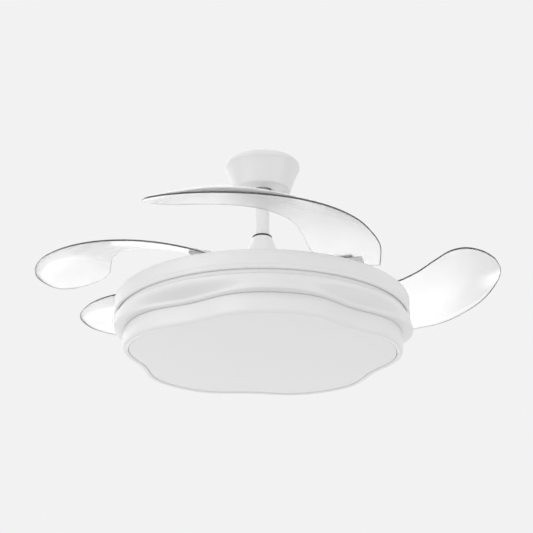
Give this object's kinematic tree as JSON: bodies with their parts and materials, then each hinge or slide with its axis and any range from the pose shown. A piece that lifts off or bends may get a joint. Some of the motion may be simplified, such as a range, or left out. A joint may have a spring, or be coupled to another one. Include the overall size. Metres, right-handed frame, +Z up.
{
  "type": "retractable blade ceiling fan",
  "caption": "Ceiling fan with four clear blades that fold over a round tray, a lobed light below and a ball-hung downrod.",
  "frame": {"origin": "middle of the ceiling bracket's top face, on the ceiling", "axes": "+Z up along the fan's axis, -Y towards the viewer of the picture, +X to the right"},
  "size_m": [0.7998, 0.733, 0.3604],
  "materials": {
    "white_paint": "satin white powder coat",
    "white_plastic": "satin white moulded plastic",
    "milky_acrylic": "milky translucent acrylic, matt underneath",
    "clear_acrylic": "polished clear acrylic",
    "steel": "zinc plated steel",
    "dark_steel": "dark phosphated steel",
    "aluminium": "plain rolled aluminium",
    "copper": "enamelled copper winding",
    "black_rubber": "matt black rubber",
    "grey_plastic": "grey moulded plastic"
  },
  "bodies": {
    "mount": {"ceiling_bracket": "steel", "canopy": "white_paint", "canopy_screw_1": "white_paint", "canopy_screw_2": "white_paint", "receiver_box": "grey_plastic", "terminal_block": "white_plastic"},
    "liner": {"socket_liner": "grey_plastic"},
    "hanging": {"hanger_ball": "dark_steel", "ball_pin": "steel", "downrod": "white_paint", "yoke": "dark_steel", "yoke_bolt": "steel", "split_pin": "steel", "motor_shaft": "steel", "stator_core": "dark_steel", "winding_upper": "copper", "winding_lower": "copper", "pan_housing": "white_plastic", "clamp_washer": "steel", "shaft_nut": "steel", "led_driver": "white_plastic", "led_board": "aluminium", "light_shade": "white_plastic", "shade_screw_1": "steel", "shade_screw_2": "steel", "shade_screw_3": "steel", "diffuser": "milky_acrylic"},
    "cover": {"coupling_cover": "white_plastic", "gasket_ring": "black_rubber"},
    "rotor": {"rotor_shell_lower": "dark_steel", "rotor_shell_upper": "white_paint", "magnet_ring": "dark_steel", "bearing_lower": "steel", "bearing_upper": "steel", "blade_tray": "white_plastic", "tray_screw_1": "steel", "tray_screw_2": "steel", "tray_screw_3": "steel", "pivot_bolt_a": "steel", "pivot_bolt_b": "steel", "pivot_bolt_c": "steel", "pivot_bolt_d": "steel", "return_spring_a": "steel", "return_spring_b": "steel", "return_spring_c": "steel", "return_spring_d": "steel"},
    "swing_blade_a": {"blade_arm_a": "white_plastic", "blade_a": "clear_acrylic", "blade_clamp_a": "white_paint"},
    "swing_blade_b": {"blade_arm_b": "white_plastic", "blade_b": "clear_acrylic", "blade_clamp_b": "white_paint"},
    "swing_blade_c": {"blade_arm_c": "white_plastic", "blade_c": "clear_acrylic", "blade_clamp_c": "white_paint"},
    "swing_blade_d": {"blade_arm_d": "white_plastic", "blade_d": "clear_acrylic", "blade_clamp_d": "white_paint"}
  },
  "joints": [
    {"name": "sway_left_right", "type": "hinge", "parent": "mount", "child": "liner", "pos_m": [0, 0, -0.036], "axis": [0, 1, 0], "range_deg": [-10, 10]},
    {"name": "sway_front_back", "type": "hinge", "parent": "liner", "child": "hanging", "pos_m": [0, 0, -0.036], "axis": [1, 0, 0], "range_deg": [-10, 10]},
    {"name": "cover_slide", "type": "slide", "parent": "hanging", "child": "cover", "axis": [0, 0, 1], "range_m": [0, 0.05]},
    {"name": "rotor_spin", "type": "hinge", "parent": "hanging", "child": "rotor", "pos_m": [0, 0, -0.26], "axis": [0, 0, 1], "continuous": true},
    {"name": "fold_blade_d", "type": "hinge", "parent": "rotor", "child": "swing_blade_d", "pos_m": [0.10837, 0.08316, -0.262], "axis": [0, 0, 1], "range_deg": [-105, 0]},
    {"name": "fold_blade_a", "type": "hinge", "parent": "rotor", "child": "swing_blade_a", "pos_m": [0.08316, -0.10837, -0.262], "axis": [0, 0, 1], "range_deg": [-65, 0]},
    {"name": "fold_blade_b", "type": "hinge", "parent": "rotor", "child": "swing_blade_b", "pos_m": [-0.10837, -0.08316, -0.262], "axis": [0, 0, 1], "range_deg": [-84, 0]},
    {"name": "fold_blade_c", "type": "hinge", "parent": "rotor", "child": "swing_blade_c", "pos_m": [-0.08316, 0.10837, -0.262], "axis": [0, 0, 1], "range_deg": [-156, 0]}
  ],
  "couplings": [
    {"joint": "fold_blade_a", "follows": "fold_blade_d", "ratio": 0.61905},
    {"joint": "fold_blade_b", "follows": "fold_blade_d", "ratio": 0.8},
    {"joint": "fold_blade_c", "follows": "fold_blade_d", "ratio": 1.4857}
  ]
}
